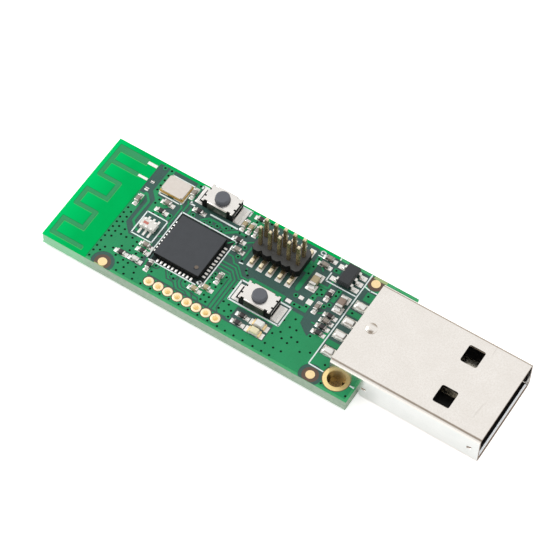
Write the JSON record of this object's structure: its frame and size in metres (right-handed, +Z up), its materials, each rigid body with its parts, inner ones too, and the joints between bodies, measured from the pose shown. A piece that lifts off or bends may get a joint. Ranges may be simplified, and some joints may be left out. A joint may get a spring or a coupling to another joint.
{
  "type": "usb radio stick",
  "caption": "Bare circuit board with a printed meander antenna, two push switches, a pin header and a metal USB plug at its end.",
  "frame": {"origin": "centre of the bounding box's base: below the middle of the stick, level with the tips of the plug's soldered legs", "axes": "+X towards the plug's tip, +Y across the board, +Z up from the board's component side"},
  "size_m": [0.0568, 0.0162, 0.0074],
  "materials": {
    "board_laminate": "green solder mask, glossy",
    "antenna_copper": "copper under green mask",
    "gold_plate": "bright gold plate",
    "tinned_land": "bright tin",
    "plug_steel": "satin stainless steel",
    "black_moulding": "matte black",
    "solder": "bright solder",
    "contact_metal": "plated spring metal",
    "chip_epoxy": "matte dark grey",
    "tinned_metal": "tinned",
    "crystal_ceramic": "gold brown rim",
    "crystal_metal": "satin cream metal",
    "white_ceramic": "white",
    "switch_steel": "bright steel",
    "slate_plastic": "matte slate grey",
    "clear_lens": "milky clear",
    "yellow_lens": "milky yellow",
    "grey_ceramic": "grey brown ceramic",
    "tan_ceramic": "tan ceramic",
    "dark_ceramic": "dark glazed"
  },
  "bodies": {
    "root": {"circuit_board": "board_laminate", "antenna_trace": "antenna_copper", "fiducial_marks": "gold_plate", "io_hole_linings": "gold_plate", "shell_hole_linings": "gold_plate", "solder_lands": "tinned_land", "plug_shell": "plug_steel", "plug_insulator": "black_moulding", "plug_solder_joints": "solder", "leg_solder": "solder", "radio_chip_body": "chip_epoxy", "radio_chip_lands": "tinned_metal", "radio_chip_heat_pad": "tinned_metal", "crystal_base": "crystal_ceramic", "crystal_seal_ring": "gold_plate", "crystal_lid": "crystal_metal", "crystal_terminals": "tinned_metal", "balun_body": "white_ceramic", "balun_terminals": "tinned_metal", "regulator_body": "chip_epoxy", "regulator_leads": "tinned_metal", "header_insulator": "black_moulding", "small_capacitors": "grey_ceramic", "large_capacitors": "tan_ceramic", "chip_resistors": "dark_ceramic", "chip_inductors": "white_ceramic", "chip_end_caps": "tinned_metal", "plug_contact_1": "contact_metal", "plug_contact_2": "contact_metal", "plug_contact_3": "contact_metal", "plug_contact_4": "contact_metal", "header_pin_1": "gold_plate", "header_pin_2": "gold_plate", "header_pin_3": "gold_plate", "header_pin_4": "gold_plate", "header_pin_5": "gold_plate", "header_pin_6": "gold_plate", "header_pin_7": "gold_plate", "header_pin_8": "gold_plate", "header_pin_9": "gold_plate", "header_pin_10": "gold_plate", "switch_1_base": "black_moulding", "switch_1_cover": "switch_steel", "switch_1_dome": "switch_steel", "switch_1_terminals": "tinned_metal", "switch_2_base": "black_moulding", "switch_2_cover": "switch_steel", "switch_2_dome": "switch_steel", "switch_2_terminals": "tinned_metal", "led_1_base": "white_ceramic", "led_1_terminals": "gold_plate", "led_2_base": "white_ceramic", "led_2_terminals": "gold_plate", "led_1_lens": "clear_lens", "led_2_lens": "yellow_lens"},
    "switch_1_button": {"switch_1_button": "slate_plastic"},
    "switch_2_button": {"switch_2_button": "slate_plastic"}
  },
  "joints": [
    {"name": "switch_1_press", "type": "slide", "parent": "root", "child": "switch_1_button", "axis": [0, 0, -1], "range_m": [0, 0.00025], "stiffness_N_per_m": 6400, "deforming": ["switch_1_dome"]},
    {"name": "switch_2_press", "type": "slide", "parent": "root", "child": "switch_2_button", "axis": [0, 0, -1], "range_m": [0, 0.00025], "stiffness_N_per_m": 6400, "deforming": ["switch_2_dome"]}
  ]
}
